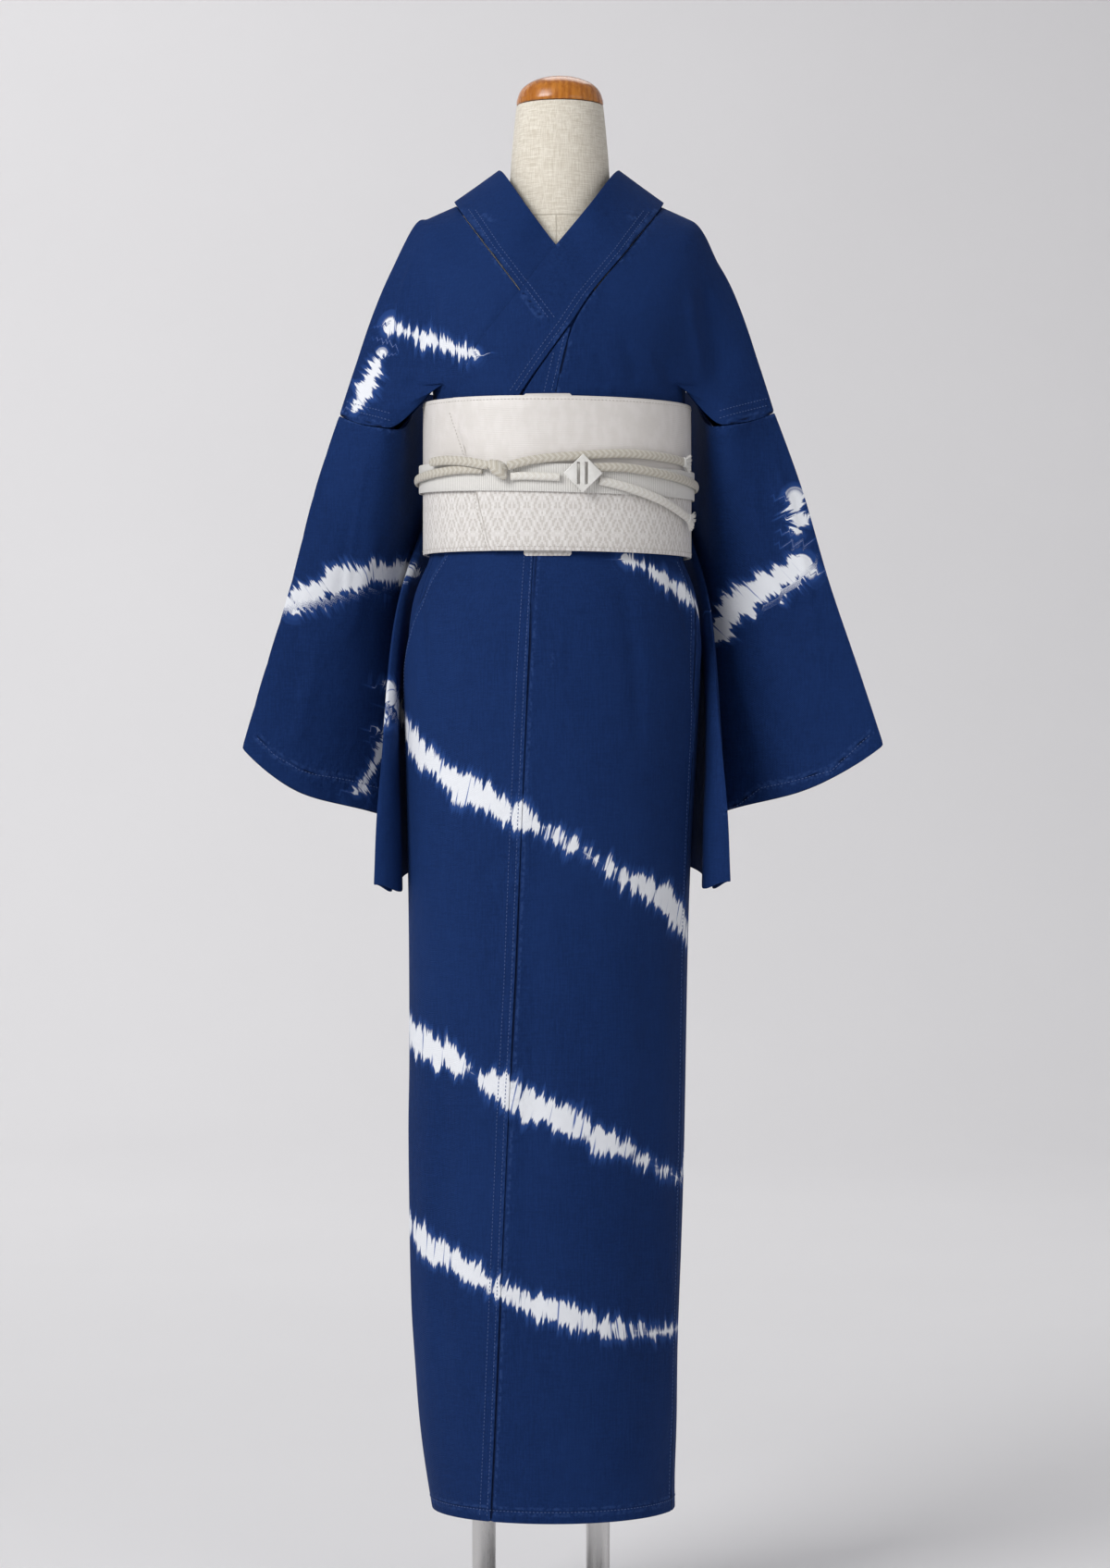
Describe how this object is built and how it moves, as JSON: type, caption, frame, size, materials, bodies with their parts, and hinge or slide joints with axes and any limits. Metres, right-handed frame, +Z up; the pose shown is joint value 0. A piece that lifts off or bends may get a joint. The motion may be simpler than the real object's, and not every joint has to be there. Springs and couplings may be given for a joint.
{
  "type": "denim kimono with obi on a dress form and stand",
  "caption": "Full-length denim kimono worn left over right with wrapped obi, tie cord and ornament, sleeves hanging; on a limbless linen dress form with a steel stand.",
  "frame": {"origin": "on the floor under the centre of the stand's base plate", "axes": "+Z up, -Y the way the wearer faces, +X the wearer's left"},
  "size_m": [0.6268, 0.28, 1.5078],
  "materials": {
    "denim": "indigo denim twill with resist-dyed white streaks",
    "obi_cloth": "cream satin above, woven lattice below",
    "cord_white": "flat woven white band and cord",
    "cord_beige": "braided beige cord",
    "clasp": "white lacquered plate",
    "linen": "natural linen cover",
    "wood": "varnished turned wood",
    "steel": "satin steel tube",
    "base": "pale grey painted plate"
  },
  "bodies": {
    "root": {"body_left": "denim", "body_right": "denim", "okumi_left": "denim", "okumi_right": "denim", "collar": "denim", "sleeve_left": "denim", "sleeve_right": "denim", "obi": "obi_cloth", "obi_stay": "obi_cloth", "obijime_band": "cord_white", "obijime_cord": "cord_beige", "obijime_under": "cord_white", "obijime_knot": "cord_beige", "obijime_end_upper": "cord_beige", "obijime_end_lower": "cord_white", "tassel_upper": "cord_white", "tassel_lower": "cord_white", "obidome": "clasp", "form_torso": "linen", "form_cap": "wood", "form_leg_left": "steel", "form_leg_right": "steel", "form_base": "base"}
  },
  "joints": []
}
